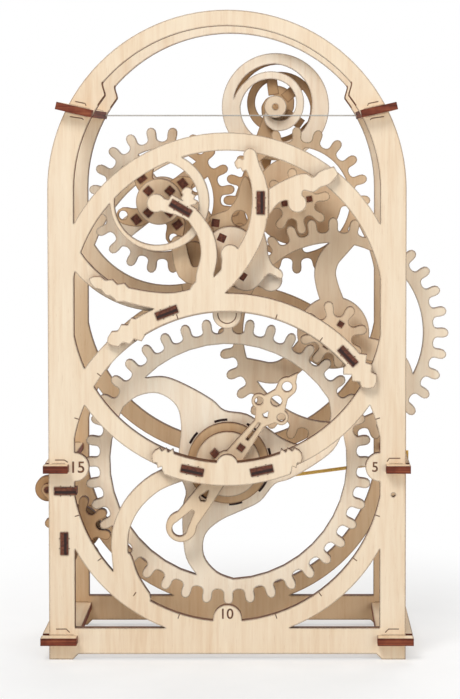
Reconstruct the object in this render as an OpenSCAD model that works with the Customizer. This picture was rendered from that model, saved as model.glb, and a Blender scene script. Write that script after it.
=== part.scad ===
// Laser-cut plywood countdown timer: two arched plates, a gear train, a turning hand and a swinging spiral.
// X is to the right seen from the front, Y runs to the rear and Z is up.

/* [Sheet] */
// Thickness of the plywood sheet
ply = 3; // [2.6:0.1:3.4]
// Clear space between the front and rear plates
plate_gap = 54; // [50:1:70]
// Clearance on each side of a tab in its slot
slot_fit = 0.05; // [0.02:0.01:0.2]

/* [Plates] */
// Width of an arched plate
plate_w = 143; // [138:1:150]
// Height from the feet to the top of the arch
plate_h = 260; // [255:1:275]
// Width of a side column
column_w = 10.4; // [9:0.1:12]
// Width of the band at the crown of the arch
crown_w = 6.3; // [5:0.1:8]
// Drop from the top of the arch to the step where its band narrows
shoulder_drop = 34.4; // [30:0.1:38]
// Height of the bar between the feet
bar_h = 10.5; // [9:0.1:12]
// Height of a foot below the bar
foot_h = 2.2; // [1.5:0.1:3]
// Width of a foot
foot_w = 9.5; // [8:0.1:12]
// Inner radius of the two interlaced rings
ring_in = 62.2; // [60:0.1:63]
// Width of the band of a ring
ring_w = 7.2; // [6:0.1:8]
// Height of the upper ring's centre above the lower one
ring_rise = 64.4; // [62:0.1:67]
// Inner radius of the small ring around the escape arbor
eye_in = 16.8; // [16:0.1:18]
// Width of the band of the small ring
eye_w = 3; // [2.5:0.1:4]
// Radius of the lobes that carry the minute numbers
number_r = 5.8; // [5:0.1:6.5]

/* [Crossbars] */
// How far a crossbar's ears stand out of the plates
ear_out = 5; // [3:0.1:7]
// Length of the ear's hook over the plate's face
hook = 3.2; // [2.5:0.1:4]
// Width of the sloping crossbars at the top
top_bar_w = 14.5; // [13:0.1:16]
// Slope of the top crossbars in degrees
top_bar_tilt = 13; // [8:1:18]
// Width of the crossbars at the dial's height
mid_bar_w = 9.8; // [9:0.1:11]
// Width of the crossbars at the feet
low_bar_w = 14.4; // [13:0.1:16]

/* [Train] */
// Gear module
tooth_module = 2.8; // [2.75:0.01:2.85]
// Height of a tooth above the pitch circle, in modules
addendum = 0.9; // [0.75:0.01:0.95]
// Depth of a tooth space below the pitch circle, in modules
dedendum = 1.3; // [1.2:0.01:1.4]
// Share of the pitch taken by a tooth
tooth_share = 0.45; // [0.4:0.01:0.46]
// Height of the dial arbor above the floor
dial_z = 77.6; // [76:0.1:79]
// Direction from the dial arbor to the third arbor
third_dir = 50.4; // [46:0.1:54]
// Direction from the third arbor to the fourth arbor
fourth_dir = 105.4; // [102:0.1:109]
// Direction from the dial arbor to the brake arbor
brake_dir = 204.2; // [200:0.1:208]
// Width of the rim between a wheel's openings and its tooth roots
rim_w = 4.2; // [3.5:0.1:6]

/* [Arbors] */
// Radius of an arbor dowel
shaft_r = 1.5; // [1.2:0.05:2]
// Radial running clearance of an arbor in its bearing
running = 0.05; // [0.02:0.01:0.1]
// Radial clearance of a wheel on its arbor
seat = 0.02; // [0.01:0.01:0.04]
// Radius of a bearing nose on a bridge
nose_r = 3.7; // [3.2:0.1:4.5]
// Skin left in front of a blind bearing
nose_skin = 1; // [0.6:0.1:1.4]
// How far an arbor stands out behind the rear plate
tail_out = 2; // [1:0.1:3]
// Radius of the spacer tubes on the arbors
spacer_r = 4; // [3:0.1:5]

/* [Dial] */
// Length of the hand from the arbor to its tip
hand_tip = 47; // [44:0.5:50]
// Length of the hand's tail to the centre of its ring
hand_tail = 31; // [28:0.5:34]
// Lean of the hand to the right of upright at rest
hand_lean = 37; // [0:1:90]
// Radius of the large hub disc
hub_disc_r = 16.5; // [15:0.1:18]
// Radius of the small hub disc
cap_disc_r = 13.2; // [12.5:0.1:15]
// Radius of the winding drum
drum_r = 8.5; // [7:0.1:10]
// Length of the winding drum between its flanges
drum_w = 8; // [6:0.5:12]
// Radius of the rubber band's strand
band_r = 0.7; // [0.5:0.05:1]

/* [Pendulum] */
// Distance of the pendulum arbor to the right of the middle
pivot_x = 1.3; // [0:0.1:2]
// Height of the pendulum arbor
pivot_z = 163.2; // [162:0.1:165]
// Length of the pendulum from its arbor to the spiral's hub
swing_r = 62; // [58:0.5:64]
// Lean of the pendulum to the right at rest
swing_lean = 16.5; // [8:0.5:20]
// Outer radius of the spiral
spiral_r = 23; // [20:0.5:24]

/* [Lever] */
// Radius of the start lever's knob
knob_r = 5.2; // [4:0.1:6]
// Reach of the knob beyond the plate's side
knob_out = 1.2; // [0.5:0.1:2]

/* [Hidden] */

birch = [0.93, 0.84, 0.70];
burnt = [0.42, 0.22, 0.13];
dowel_tan = [0.85, 0.72, 0.53];
rubber_tan = [0.82, 0.62, 0.24];
thread_grey = [0.55, 0.54, 0.52];
round = 72;
eps = 0.01;

// Tooth counts of the train
dial_n = 40;
third_n = 32;
fourth_n = 20;
pinion_n = 8;

// Arched plates
arch_r = plate_w / 2;
arch_z = plate_h - arch_r;
column_in = arch_r - column_w;
shoulder_z = plate_h - shoulder_drop;
ring_out = ring_in + ring_w;
upper_z = dial_z + ring_rise;
eye_out = eye_in + eye_w;

// Centres of the arbors as seen from the front
dial_at = [0, dial_z];
mesh_dial = tooth_module * (dial_n + pinion_n) / 2;
mesh_third = tooth_module * (third_n + pinion_n) / 2;
mesh_fourth = tooth_module * fourth_n;
third_at = dial_at + mesh_dial * aim(third_dir);
fourth_at = third_at + mesh_third * aim(fourth_dir);
escape_at = fourth_at - [mesh_fourth, 0];
brake_at = dial_at + mesh_dial * aim(brake_dir);
pivot_at = [pivot_x, pivot_z];
spiral_at = pivot_at + swing_r * aim(90 - swing_lean);

// Layers from the front to the rear
play = 1;
hand_y = ply + play;
cap_y = hand_y + ply;
hub_y = cap_y + ply;
dial_y = hub_y + ply;
drum_y = dial_y + 2 * ply;
third_y = dial_y + 3 * ply;
fourth_y = third_y + 4 * ply;
back_y = ply + plate_gap;
rear_y = back_y + ply;
spiral_y = rear_y + ply + play;
arm_y = spiral_y + ply;
spiral_back_y = arm_y + ply;
stack_end = spiral_back_y + ply;

// Turn of each gear at rest, so that the teeth mesh
dial_turn = 0;
third_turn = 0;
fourth_turn = 0;
third_pinion_turn = meshed(dial_turn, dial_n, pinion_n, third_dir);
fourth_pinion_turn = meshed(third_turn, third_n, pinion_n, fourth_dir);
escape_turn = meshed(fourth_turn, fourth_n, fourth_n, 180);
brake_turn = meshed(dial_turn, dial_n, pinion_n, brake_dir);

// Middle of the whole object, which becomes the origin
wheel_reach = third_at.x + tip_r(third_n);
knob_at = [-arch_r - knob_out, dial_z - 10];
knob_reach = knob_at.x - knob_r;
mid_x = (wheel_reach + knob_reach) / 2;
mid_y = (stack_end - ear_out) / 2;

// Places of the crossbars on the right, mirrored to the left
top_bar_at = [arch_r - 11.1, shoulder_z - 5.2];
mid_bar_at = [arch_r - 3.2, dial_z - 0.3];
low_bar_at = [arch_r - 4.2, foot_h + 6];

// Curves
function aim(a) = [cos(a), sin(a)];
function mix(a, b, t) = a + (b - a) * t;
function moved(p, at) = [for (q = p) at + q];
function bend(a, b, c, d, t) =
    0.5 * (2 * b + (c - a) * t + (2 * a - 5 * b + 4 * c - d) * t * t
        + (3 * b - a - 3 * c + d) * t * t * t);
function smooth(p, n = 4) = [
    for (i = [0 : len(p) - 2])
        for (j = [0 : n - 1])
            bend(p[max(i - 1, 0)], p[i], p[i + 1], p[min(i + 2, len(p) - 1)], j / n),
    p[len(p) - 1]
];
function across(c, i) =
    let (d = c[min(i + 1, len(c) - 1)] - c[max(i - 1, 0)]) [-d.y, d.x] / norm(d);
function heading(c, i) = let (a = across(c, i)) atan2(-a.x, a.y);
function cap(at, dir, r) = [for (t = [-60 : 30 : 60]) at + r * aim(dir + t)];
function band(p, w0, w1, n = 4, capped = false) =
    let (c = smooth(p, n), k = len(c) - 1)
    concat(
        [for (i = [0 : k]) c[i] - across(c, i) * mix(w0, w1, i / k) / 2],
        capped ? cap(c[k], heading(c, k), w1 / 2) : [],
        [for (i = [k : -1 : 0]) c[i] + across(c, i) * mix(w0, w1, i / k) / 2],
        capped ? cap(c[0], heading(c, 0) + 180, w0 / 2) : []
    );

// Gears
function pitch_r(n) = tooth_module * n / 2;
function tip_r(n) = pitch_r(n) + addendum * tooth_module;
function root_r(n) = pitch_r(n) - dedendum * tooth_module;
function meshed(turn, n, follower, dir) =
    dir + 180 - (turn - dir) * n / follower - 180 / follower;
fillet = 0.55;
function tooth(n, c) =
    let (p = 360 / n, half = tooth_share * p / 2, gap = p / 2 - half,
        rr = root_r(n), fr = fillet * tooth_module)
    concat(
        [for (t = [0, 30, 60, 90]) (rr + fr * (1 - cos(t))) * aim(c - p / 2 + gap * sin(t))],
        [for (t = [0 : 30 : 180])
            (pitch_r(n) + addendum * tooth_module * sin(t)) * aim(c - half * cos(t))],
        [for (t = [90, 60, 30]) (rr + fr * (1 - cos(t))) * aim(c + p / 2 - gap * sin(t))]
    );
module gear_2d(n, turn) {
    polygon([for (k = [0 : n - 1]) each tooth(n, turn + k * 360 / n)]);
}

// Sheet parts: an outline seen from the front, cut from plywood with its front face at depth y
module cut(y, t = ply) {
    color(birch)
        translate([-mid_x, y + t - mid_y, 0])
            rotate([90, 0, 0])
                linear_extrude(t)
                    children();
}
module dowel(at, y0, y1, r, tone = dowel_tan) {
    color(tone)
        translate([at.x - mid_x, y0 - mid_y, at.y])
            rotate([-90, 0, 0])
                cylinder(h = y1 - y0, r = r, $fn = round);
}
module tube(at, y0, y1, r, bore) {
    color(dowel_tan)
        translate([at.x - mid_x, y0 - mid_y, at.y])
            rotate([-90, 0, 0])
                difference() {
                    cylinder(h = y1 - y0, r = r, $fn = round);
                    translate([0, 0, -1])
                        cylinder(h = y1 - y0 + 2, r = bore, $fn = round);
                }
}
// A blind bearing drilled from the rear of a sheet whose front face is at depth y
module blind(at, y) {
    translate([at.x - mid_x, y + nose_skin - mid_y, at.y])
        rotate([-90, 0, 0])
            cylinder(h = ply, r = shaft_r + running, $fn = round);
}
module disc(at, r) {
    translate(at)
        circle(r, $fn = round);
}
module ringlet(at, r_in, r_out) {
    difference() {
        disc(at, r_out);
        disc(at, r_in);
    }
}
module wedge(at, r, from, to) {
    steps = ceil((to - from) / 30);
    translate(at)
        polygon(concat([[0, 0]],
            [for (i = [0 : steps]) r * aim(from + (to - from) * i / steps)]));
}
module arc_band(at, r_in, r_out, from, to) {
    intersection() {
        ringlet(at, r_in, r_out);
        wedge(at, r_out * 1.2, from, to);
    }
}
// A curved arm with round ends along the points p
module limb(p, w0, w1) {
    polygon(band(p, w0, w1, capped = true));
}
// A leaf with a toothed edge, growing from a point in a direction
module leaf(at, dir, long, wide) {
    lobes = 3;
    steps = 2 * lobes;
    lower = [for (i = [0 : steps])
        let (t = i / steps, w = wide / 2 * sqrt(1 - 0.75 * t) * (i % 2 == 0 ? 0.72 : 1.1))
            [long * t, -w]];
    upper = [for (i = [steps : -1 : 0]) [lower[i].x, -lower[i].y]];
    translate(at)
        rotate(dir)
            polygon(concat(lower, [[long * 1.08, 0]], upper));
}
module tab(at, dir, long, fit = 0) {
    translate(at)
        rotate(dir)
            square([long + 2 * fit, ply + 2 * fit], center = true);
}

// Plates
module arch_outline() {
    translate([-arch_r, foot_h])
        square([plate_w, arch_z - foot_h]);
    disc([0, arch_z], arch_r);
}
module arch_opening() {
    translate([-column_in, foot_h + bar_h])
        square([2 * column_in, arch_z - foot_h - bar_h]);
    disc([0, arch_z], column_in - eps);
    intersection() {
        disc([0, arch_z], arch_r - crown_w);
        translate([-arch_r, shoulder_z])
            square([plate_w, arch_r]);
    }
    lobe_r = (column_w - crown_w) / 2;
    lobe_mid = column_in + lobe_r;
    for (side = [-1, 1])
        disc([side * sqrt(lobe_mid ^ 2 - (shoulder_z - arch_z) ^ 2), shoulder_z], lobe_r);
}
module feet() {
    heel = arch_r - foot_w;
    top = foot_h + eps;
    polygon([[heel, 0], [arch_r, 0], [arch_r, top], [heel - foot_h, top]]);
    polygon([[-arch_r, 0], [-heel, 0], [foot_h - heel, top], [-arch_r, top]]);
}
module bar_slots(at, tilt, w) {
    for (side = [-1, 1])
        translate([side * at.x, at.y])
            rotate(side * tilt)
                scale([side, 1])
                    translate([-w / 2 + hook / 2 - slot_fit, -ply / 2 - slot_fit])
                        square([w - 1.5 * hook + 2 * slot_fit, ply + 2 * slot_fit]);
}
module plate_outline() {
    difference() {
        arch_outline();
        arch_opening();
    }
    feet();
    intersection() {
        arch_outline();
        union() {
            ringlet(dial_at, ring_in, ring_out);
            ringlet([0, upper_z], ring_in, ring_out);
        }
    }
    arc_band(eye_at, bough_in, bough_in + bough_w, 207, 279);
}
module crossbar_slots() {
    bar_slots(top_bar_at, top_bar_tilt, top_bar_w);
    bar_slots(mid_bar_at, 0, mid_bar_w);
    bar_slots(low_bar_at, 0, low_bar_w);
}
bearing_r = shaft_r + running;
// Arm from the left column to the lower ring, round the small ring
bough_in = 37.5;
bough_w = 6.3;
// Arm from the upper ring's foot to the lower ring's left side, from the dial arbor
strut = [[-17, -1.5], [-28.5, -6.2], [-37.2, -14], [-42, -22.9], [-43.2, -30.5], [-42.8, -38.5],
    [-42, -47]];
strut_root = [[-41, -37], [-38.8, -45], [-34.5, -53]];
module front_plate() {
    color(birch)
        difference() {
            cut(0)
                difference() {
                    union() {
                        plate_outline();
                        difference() {
                            disc(eye_at, eye_out);
                            disc(escape_at, eye_in);
                        }
                        for (p = number_at)
                            disc(p, number_r);
                        limb(moved(strut, dial_at), 7.2, 6.4);
                        limb(moved(strut_root, dial_at), 5.6, 7.6);
                    }
                    crossbar_slots();
                    disc(dial_at, bearing_r);
                    disc(third_at, bearing_r);
                    for (k = ring_keys)
                        tab(k[0], k[1], key_long, slot_fit);
                    for (k = column_key_at)
                        tab(k[0], k[1], key_long, slot_fit);
                    disc([arch_r - 5, dial_z - 11.2], 0.8);
                }
            blind(brake_at, 0);
            blind(lever_at, 0);
        }
}
eye_at = escape_at + [1.2, 0.5];
number_at = [
    [column_in, dial_z], [-column_in, dial_z],
    [0, dial_z - ring_in + 0.8], [0, dial_z + ring_in - 0.8]
];
module back_plate() {
    cut(back_y)
        difference() {
            union() {
                plate_outline();
                tree_limbs();
                limb([[0, upper_z] + ring_mid * aim(53), fourth_at], 7, 6);
                disc(fourth_at, nose_r);
            }
            crossbar_slots();
            for (p = [dial_at, third_at, fourth_at, escape_at, pivot_at, brake_at])
                disc(p, bearing_r);
        }
}

// Crossbars: planks with necks in the plates' slots and hooked ears outside
module crossbar(side, at, tilt, w) {
    color(burnt)
        translate([side * at.x - mid_x, -mid_y, at.y])
            rotate([0, -side * tilt, 0])
                translate([0, 0, -ply / 2])
                    linear_extrude(ply)
                        scale([side, 1])
                            translate([-w / 2, 0]) {
                                translate([0, ply])
                                    square([w, plate_gap]);
                                translate([hook / 2, -eps])
                                    square([w - 1.5 * hook, rear_y + 2 * eps]);
                                for (y = [-ear_out, rear_y])
                                    translate([0, y])
                                        square([w, ear_out]);
                            }
}
module crossbar_top_left() crossbar(-1, top_bar_at, top_bar_tilt, top_bar_w);
module crossbar_top_right() crossbar(1, top_bar_at, top_bar_tilt, top_bar_w);
module crossbar_mid_left() crossbar(-1, mid_bar_at, 0, mid_bar_w);
module crossbar_mid_right() crossbar(1, mid_bar_at, 0, mid_bar_w);
module crossbar_bottom_left() crossbar(-1, low_bar_at, 0, low_bar_w);
module crossbar_bottom_right() crossbar(1, low_bar_at, 0, low_bar_w);

// Bridges on the front plate, and the keys that hold them
key_long = 9;
key_out = 0.4;
ring_mid = (ring_in + ring_out) / 2;
key_ring = ring_mid + 0.9;
// Directions of the dial bridge's two ends and of its keys, from the upper ring's centre
dial_bridge_left = 250;
dial_bridge_right = 540 - dial_bridge_left;
left_key_dir = dial_bridge_left + 8;
right_key_dir = dial_bridge_right - 8;
ring_keys = [
    [dial_at + key_ring * aim(111), 21], [dial_at + ring_mid * aim(43), -47],
    [[0, upper_z] + key_ring * aim(left_key_dir), left_key_dir - 270],
    [[0, upper_z] + key_ring * aim(right_key_dir), right_key_dir - 270]
];
hook_key = [escape_at + [9.8, -2], -30];
branch_key = [[13.5, pivot_z + 20.3], 90];
column_key_at = [[[-column_in - 3.6, dial_z - 9.6], 0], [[-column_in - 4.2, dial_z - 30.8], 90]];
// The tree's branches, which carry the bearings of the pendulum and escape arbors
module tree_limbs() {
    disc([-8.5, upper_z + 5], 6.5);
    limb([[-8.2, upper_z + 5], [-8.8, upper_z + 12], [-7.1, upper_z + 20], [-7.9, upper_z + 27.2],
        [-10.8, upper_z + 32.8], [-15.5, upper_z + 37.7], escape_at], 7.5, 5);
    limb([[-6.5, upper_z + 5.3], [1.3, upper_z + 13.2], [7.5, upper_z + 21.6], [11.7, upper_z + 30.6],
        [13.3, upper_z + 41.3], [12.6, upper_z + 49.7], [10.4, upper_z + 55.5], [9.2, upper_z + 60.5]],
        8, 5.4);
    leaf([10.4, upper_z + 56], 168, 7, 7);
    limb([[0.8, upper_z + 13], pivot_at], 6.4, 6.2);
    disc(pivot_at, nose_r);
    disc(escape_at, nose_r);
}
leafy_limb = [[-9.5, 4.4], [-21, 2.2], [-32.4, 3.3], [-44, 6]];
module tree_bridge() {
    difference() {
        cut(-ply)
            difference() {
                union() {
                    arc_band(dial_at, ring_in + 0.5, ring_out + 0.6, 40, 122);
                    leaf(dial_at + ring_mid * aim(41), -50, 13, 12);
                    leaf(dial_at + ring_mid * aim(121), 204, 14, 10);
                    tree_limbs();
                    limb(moved(leafy_limb, [0, upper_z]), 8, 5.5);
                    leaf([-40, upper_z + 4.8], 156, 15, 8);
                    leaf(hook_key[0] + [3.5, 1], 100, 7, 7);
                    translate(branch_key[0])
                        square([ply + 3, key_long + 3], center = true);
                    translate(hook_key[0])
                        rotate(hook_key[1])
                            square([key_long + 2.6, ply + 2.8], center = true);
                }
                for (k = [ring_keys[0], ring_keys[1], hook_key, branch_key])
                    tab(k[0], k[1], key_long, slot_fit);
            }
        blind(pivot_at, -ply);
        blind(escape_at, -ply);
    }
}
// Edges of the right bracket, from the fourth arbor
bracket_left = branch_key[0].x + ply / 2 + 1.7;
bracket_low = [[-10, -3.2], [-7.8, -0.4], [-4.6, 1.1], [-2, 0]];
bracket_under = [[2, 1], [2.4, 4.9], [6.4, 4.3], [9.4, 6.3], [13, 7.6], [16.4, 11.4]];
bracket_top = [[14.6, 14.6], [9, 12.7], [6.4, 10.4], [3.6, 11.8], [0.6, 11.5], [-2.6, 10.3], [-7.4, 8.1]];
module right_bracket() {
    difference() {
        cut(-ply)
            union() {
                polygon(concat(
                    [[bracket_left, fourth_at.y - 4.5]],
                    smooth(moved(bracket_low, fourth_at)),
                    smooth(moved(bracket_under, fourth_at)),
                    smooth(moved(bracket_top, fourth_at)),
                    [[bracket_left, fourth_at.y + 5.7]]
                ));
                disc(fourth_at, nose_r);
            }
        blind(fourth_at, -ply);
    }
}
dial_leaf_w = 7.5;
dial_leaf_long = 10;
module dial_bridge() {
    upper = [0, upper_z];
    difference() {
        cut(-ply)
            difference() {
                union() {
                    arc_band(upper, ring_in, ring_out + 2, dial_bridge_left - 1, dial_bridge_right + 1);
                    leaf(upper + ring_mid * aim(dial_bridge_left), 156, dial_leaf_w, dial_leaf_long);
                    leaf(upper + ring_mid * aim(dial_bridge_right), 24, dial_leaf_w, dial_leaf_long);
                    disc(dial_at + [0, 1.2], nose_r + 0.6);
                }
                for (k = [ring_keys[2], ring_keys[3]])
                    tab(k[0], k[1], key_long, slot_fit);
            }
        blind(dial_at, -ply);
    }
}
module key_block(k, y0, y1) {
    color(burnt)
        translate([k[0].x - mid_x, y1 - mid_y, k[0].y])
            rotate([90, -k[1], 0])
                translate([-key_long / 2, -ply / 2, 0])
                    cube([key_long, ply, y1 - y0]);
}
module bridge_keys() {
    for (k = concat(ring_keys, [hook_key, branch_key]))
        key_block(k, -ply - key_out, ply);
}
module column_keys() {
    for (k = column_key_at)
        key_block(k, -key_out, ply + play);
}

// Thread between the top crossbars, and the rubber band that drives the drum
thread_r = 0.3;
thread_y = back_y - 4;
module tension_thread() {
    reach = top_bar_at.x - top_bar_w / 2 * cos(top_bar_tilt) - slot_fit - ply * sin(top_bar_tilt) / 2;
    height = top_bar_at.y - top_bar_w / 2 * sin(top_bar_tilt);
    color(thread_grey)
        translate([-reach - mid_x, thread_y - mid_y, height])
            rotate([0, 90, 0])
                cylinder(h = 2 * reach, r = thread_r, $fn = 16);
}
turn_r = drum_r + 2 * band_r;
band_y = drum_y + ply + drum_w / 2;
module rubber_band() {
    loop_fit = 0.1;
    wind_r = turn_r + 0.3 + band_r;
    end = [mid_bar_at.x - mid_bar_w / 2 - loop_fit, mid_bar_at.y - ply / 2 - loop_fit - band_r];
    run = end - dial_at;
    slope = atan2(run.y, run.x);
    lift = asin(wind_r / norm(run));
    long = sqrt(norm(run) ^ 2 - wind_r ^ 2);
    color(rubber_tan) {
        translate([end.x - mid_x, band_y - mid_y, end.y])
            rotate([0, -90 - slope - lift, 0])
                cylinder(h = long, r = band_r, $fn = 16);
        translate([mid_bar_at.x - mid_x, band_y + band_r - mid_y, mid_bar_at.y])
            rotate([90, 0, 0])
                linear_extrude(2 * band_r)
                    difference() {
                        square([mid_bar_w + 2 * loop_fit + 2 * band_r,
                            ply + 2 * loop_fit + 2 * band_r * 2], center = true);
                        square([mid_bar_w + 2 * loop_fit, ply + 2 * loop_fit], center = true);
                    }
    }
}

// Dial: the large gear, its discs, the hand and the winding drum
module bore_for(at) {
    difference() {
        children();
        disc(at, shaft_r + seat);
    }
}
// One paisley opening of the dial gear, drawn for openings that reach out to radius paisley_r
paisley_r = 48.16;
paisley_edge = [[-33.7, 34.3], [-25.5, 34.6], [-15.8, 30.6], [-6.4, 25.1], [-1.5, 20.9], [7.5, 19.3],
    [15.2, 14.2], [22.6, 9.1], [30.6, 6.8], [38.4, 10.6], [41.6, 18.4], [40.6, 25.8]];
module paisley(r) {
    edge = paisley_edge * r / paisley_r;
    last = len(edge) - 1;
    rim_from = atan2(edge[last].y, edge[last].x);
    rim_to = atan2(edge[0].y, edge[0].x);
    polygon(concat(smooth(edge), [for (i = [1 : 11]) r * aim(mix(rim_from, rim_to, i / 12))]));
}
peg_at = [[-5.2, 4.7], 9 * aim(90 - hand_lean)];
peg = 2.6;
module peg_holes(fit) {
    for (i = [0, 1])
        translate(dial_at + peg_at[i])
            rotate(i == 0 ? 45 : 90 - hand_lean)
                square(peg + 2 * fit, center = true);
}
module dial_arbor() dowel(dial_at, -ply + nose_skin + running, rear_y + tail_out, shaft_r);
module dial_gear() {
    cut(dial_y)
        bore_for(dial_at)
            difference() {
                translate(dial_at)
                    gear_2d(dial_n, dial_turn);
                for (a = [0, 120, 240])
                    translate(dial_at)
                        rotate(a)
                            paisley(root_r(dial_n) - rim_w);
                peg_holes(slot_fit);
            }
}
module hub_disc() {
    cut(hub_y)
        bore_for(dial_at)
            difference() {
                disc(dial_at, hub_disc_r);
                peg_holes(slot_fit);
            }
}
module cap_disc() {
    cut(cap_y)
        bore_for(dial_at)
            difference() {
                disc(dial_at, cap_disc_r);
                peg_holes(slot_fit);
            }
}
module hand_outline() {
    difference() {
        union() {
            disc([0, 0], 6);
            polygon(band([[2, 0], [10, 0], [16, 0], [22, 0]], 8, 4.4));
            polygon([[21, -2.2], [28.4, -7], [33, -4.5], [36, -3.2], [40, -4], [43, -2], [hand_tip, 0],
                [43, 2], [40, 4], [36, 3.2], [33, 4.5], [28.4, 7], [21, 2.2]]);
            for (side = [-1, 1])
                disc([28.4, side * 5.6], 3);
            disc([39.8, 0], 3.9);
            polygon(band([[-2, 0], [-10, 0], [-18, 0], [-hand_tail, 0]], 7, 10));
            disc([-hand_tail, 0], 6.2);
        }
        for (side = [-1, 1])
            disc([28.4, side * 5.6], 1.6);
        disc([39.8, 0], 2);
        disc([32.6, 0], 2.2);
        polygon([[27.4, 0], [25, 1.2], [24.4, 0], [25, -1.2]]);
        polygon(band([[13, 0], [16, 0], [19, 0], [21.5, 0]], 1.2, 0.8));
        polygon([[-12.5, 0], [-17, 1.6], [-18, 0], [-17, -1.6]]);
        disc([-hand_tail - 1.2, 0], 3);
        polygon([[-hand_tail - 1.2, 3], [-hand_tail + 8, 0.6], [-hand_tail + 8, -0.6],
            [-hand_tail - 1.2, -3]]);
    }
}
module hand() {
    cut(hand_y)
        bore_for(dial_at)
            difference() {
                translate(dial_at)
                    rotate(90 - hand_lean)
                        hand_outline();
                translate(dial_at + peg_at[1])
                    rotate(90 - hand_lean)
                        square(peg + 2 * slot_fit, center = true);
                translate(dial_at + peg_at[0])
                    rotate(45)
                        square(peg + 4 * slot_fit, center = true);
            }
}
module hub_pegs() {
    color(burnt)
        translate([-mid_x, dial_y + ply - mid_y, 0])
            rotate([90, 0, 0])
                linear_extrude(dial_y + ply - hand_y)
                    peg_holes(0);
}
module winding_drum() tube(dial_at, drum_y + ply, drum_y + ply + drum_w, drum_r, shaft_r + seat);
module drum_flanges() {
    for (y = [drum_y, drum_y + ply + drum_w])
        cut(y)
            bore_for(dial_at)
                disc(dial_at, drum_r + 4);
}
module band_turns() {
    turns = 3;
    color(rubber_tan)
        translate([dial_at.x - mid_x, band_y - turns * band_r - mid_y, dial_at.y])
            rotate([-90, 0, 0])
                difference() {
                    cylinder(h = 2 * turns * band_r, r = turn_r, $fn = round);
                    translate([0, 0, -1])
                        cylinder(h = 2 * turns * band_r + 2, r = drum_r + seat, $fn = round);
                }
}

// Square pegs that lock a pinion to the wheel on its arbor
pinion_peg = 2.2;
peg_ring = spacer_r + pinion_peg / 2 + 0.1;
module pinion_pegs(at, dir, fit) {
    for (a = [0, 180])
        translate(at)
            rotate(a + dir)
                translate([peg_ring, 0])
                    square(pinion_peg + 2 * fit, center = true);
}
module peg_blocks(at, dir, y0, y1) {
    color(burnt)
        translate([-mid_x, y1 - mid_y, 0])
            rotate([90, 0, 0])
                linear_extrude(y1 - y0)
                    pinion_pegs(at, dir, 0);
}
third_peg_dir = 57;
fourth_peg_dir = 190;

// Third arbor
module third_arbor() dowel(third_at, running, rear_y + tail_out, shaft_r);
module third_pinion() {
    cut(dial_y)
        bore_for(third_at)
            difference() {
                translate(third_at)
                    gear_2d(pinion_n, third_pinion_turn);
                pinion_pegs(third_at, third_peg_dir, slot_fit);
            }
}
third_hub_r = 14.8;
third_arm = [[0, 12], [-2.4, 19], [-3.3, 25], [-1.6, 30.5], [2.5, 35.2], [6, 39]];
module third_wheel() {
    cut(third_y)
        bore_for(third_at)
            difference() {
                translate(third_at)
                    difference() {
                        gear_2d(third_n, third_turn);
                        difference() {
                            ringlet([0, 0], third_hub_r, root_r(third_n) - rim_w);
                            for (a = [0, 120, 240])
                                rotate(a)
                                    limb(third_arm, 9.5, 8);
                        }
                    }
                pinion_pegs(third_at, third_peg_dir, slot_fit);
            }
}
module third_spacer() tube(third_at, dial_y + ply, third_y, spacer_r, shaft_r + seat);
module third_pegs() peg_blocks(third_at, third_peg_dir, dial_y, third_y + ply);

// Fourth arbor
wheel_slot_w = 3.6;
wheel_slot_rim = 2.2;
wheel_slot_ends = [12, 78];
module slotted_wheel(n, turn) {
    slot_out = root_r(n) - wheel_slot_rim;
    slot_in = slot_out - wheel_slot_w;
    mid = (slot_in + slot_out) / 2;
    difference() {
        gear_2d(n, turn);
        for (a = [0, 90, 180, 270]) {
            arc_band([0, 0], slot_in, slot_out, a + wheel_slot_ends[0], a + wheel_slot_ends[1]);
            for (e = wheel_slot_ends)
                disc(mid * aim(a + e), wheel_slot_w / 2);
        }
    }
}
module fourth_arbor() dowel(fourth_at, -ply + nose_skin + running, rear_y + tail_out, shaft_r);
module fourth_pinion() {
    cut(third_y)
        bore_for(fourth_at)
            difference() {
                translate(fourth_at)
                    gear_2d(pinion_n, fourth_pinion_turn);
                pinion_pegs(fourth_at, fourth_peg_dir, slot_fit);
            }
}
module fourth_wheel() {
    cut(fourth_y)
        bore_for(fourth_at)
            difference() {
                translate(fourth_at)
                    slotted_wheel(fourth_n, fourth_turn);
                pinion_pegs(fourth_at, fourth_peg_dir, slot_fit);
            }
}
module fourth_spacer() tube(fourth_at, third_y + ply, fourth_y, spacer_r, shaft_r + seat);
module fourth_pegs() peg_blocks(fourth_at, fourth_peg_dir, third_y, fourth_y + ply);

// Escape arbor
rotor_disc_r = 9.4;
rotor_peg = 3;
peg_circle = 6.2;
rotor_arm_w = 8;
rotor_hole_r = 1.8;
rotor_y = drum_y;
post_r = 12;
post_w = 3.6;
post_turn = 38;
rotor_tip = [post_r + 2.8, -4.2];
rotor_arm = [[5, 0], [post_r - 2, 0], [post_r + 0.6, -1.6], rotor_tip];
module post_holes(fit) {
    for (a = [0, 90, 180, 270])
        translate(escape_at)
            rotate(a + post_turn)
                translate([post_r, 0])
                    square([ply + 2 * fit, post_w + 2 * fit], center = true);
}
spoke_hub_r = 9.9;
spoke_w = 8;
spoke_rim = 3;
module spoked_wheel(n, turn) {
    difference() {
        gear_2d(n, turn);
        difference() {
            ringlet([0, 0], spoke_hub_r, root_r(n) - spoke_rim);
            for (a = [0, 90, 180, 270])
                rotate(a + post_turn)
                    translate([0, -spoke_w / 2])
                        square([root_r(n), spoke_w]);
        }
    }
}
module escape_arbor() dowel(escape_at, -ply + nose_skin + running, rear_y + tail_out, shaft_r);
module escape_wheel() {
    cut(fourth_y)
        bore_for(escape_at)
            difference() {
                translate(escape_at)
                    spoked_wheel(fourth_n, escape_turn);
                post_holes(slot_fit);
            }
}
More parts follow.
